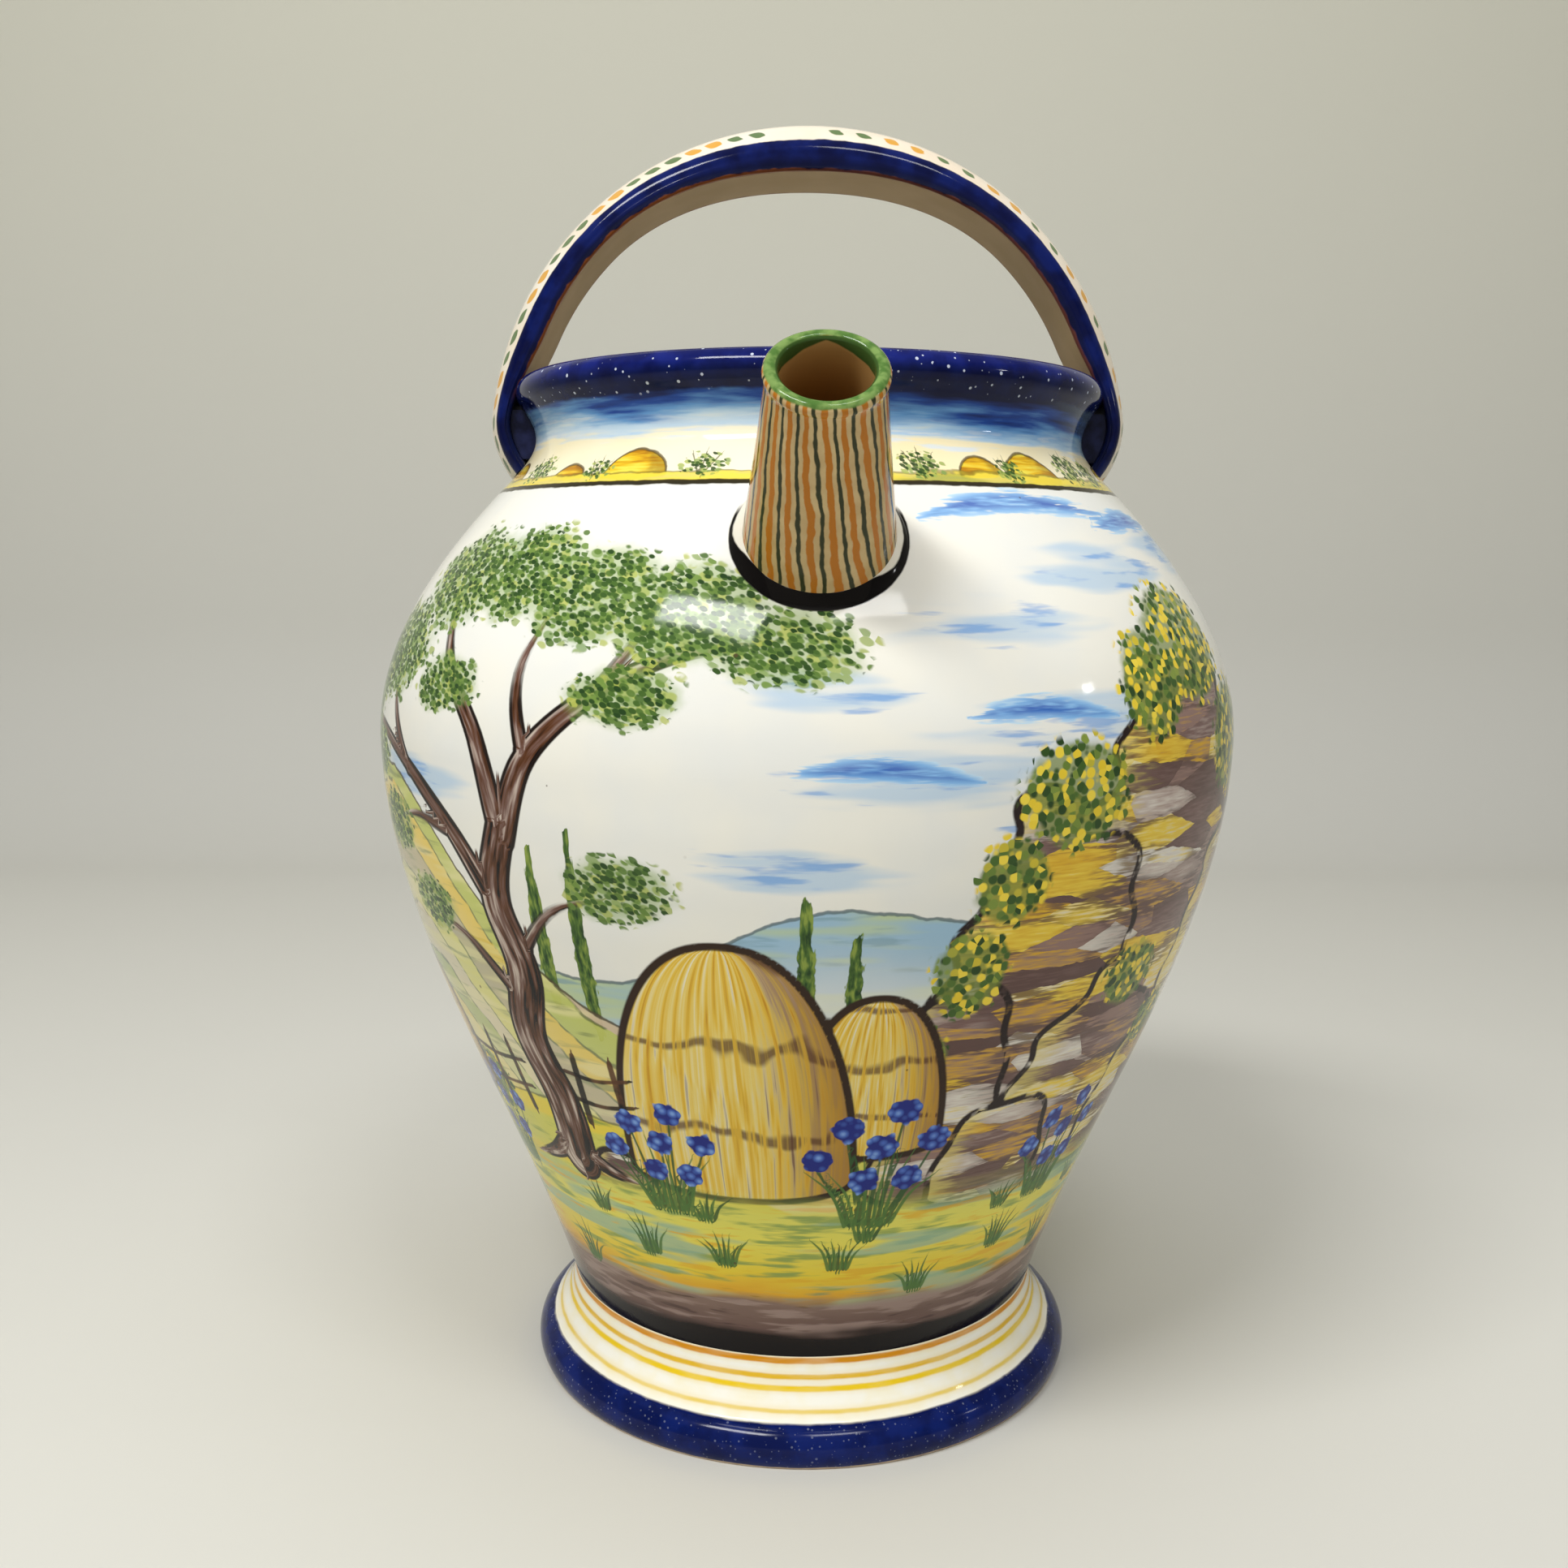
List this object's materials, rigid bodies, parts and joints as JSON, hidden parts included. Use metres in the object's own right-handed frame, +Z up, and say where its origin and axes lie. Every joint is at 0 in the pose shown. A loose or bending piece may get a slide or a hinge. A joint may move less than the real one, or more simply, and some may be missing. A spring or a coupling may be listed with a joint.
{
  "type": "wine jug",
  "caption": "Painted tin-glazed earthenware wine jug with a round belly, a flared foot, a short tilted spout on the shoulder and a fixed arched handle over the mouth.",
  "frame": {"origin": "centre of the ring that the jug stands on, on the axis of the jug at table level", "axes": "+Z up along the axis of the jug, -Y towards the spout, +X to the right for someone who faces the spout"},
  "size_m": [0.287, 0.3087, 0.42],
  "materials": {
    "foot_glaze": "gloss",
    "body_glaze": "gloss",
    "collar_glaze": "gloss",
    "spout_glaze": "gloss",
    "line_glaze": "gloss",
    "handle_glaze": "gloss"
  },
  "bodies": {
    "root": {"foot": "foot_glaze", "lower_body": "body_glaze", "upper_body": "body_glaze", "collar": "collar_glaze", "spout": "spout_glaze", "spout_coil": "line_glaze", "handle": "handle_glaze", "handle_wad_left": "body_glaze", "handle_wad_right": "body_glaze"}
  },
  "joints": []
}
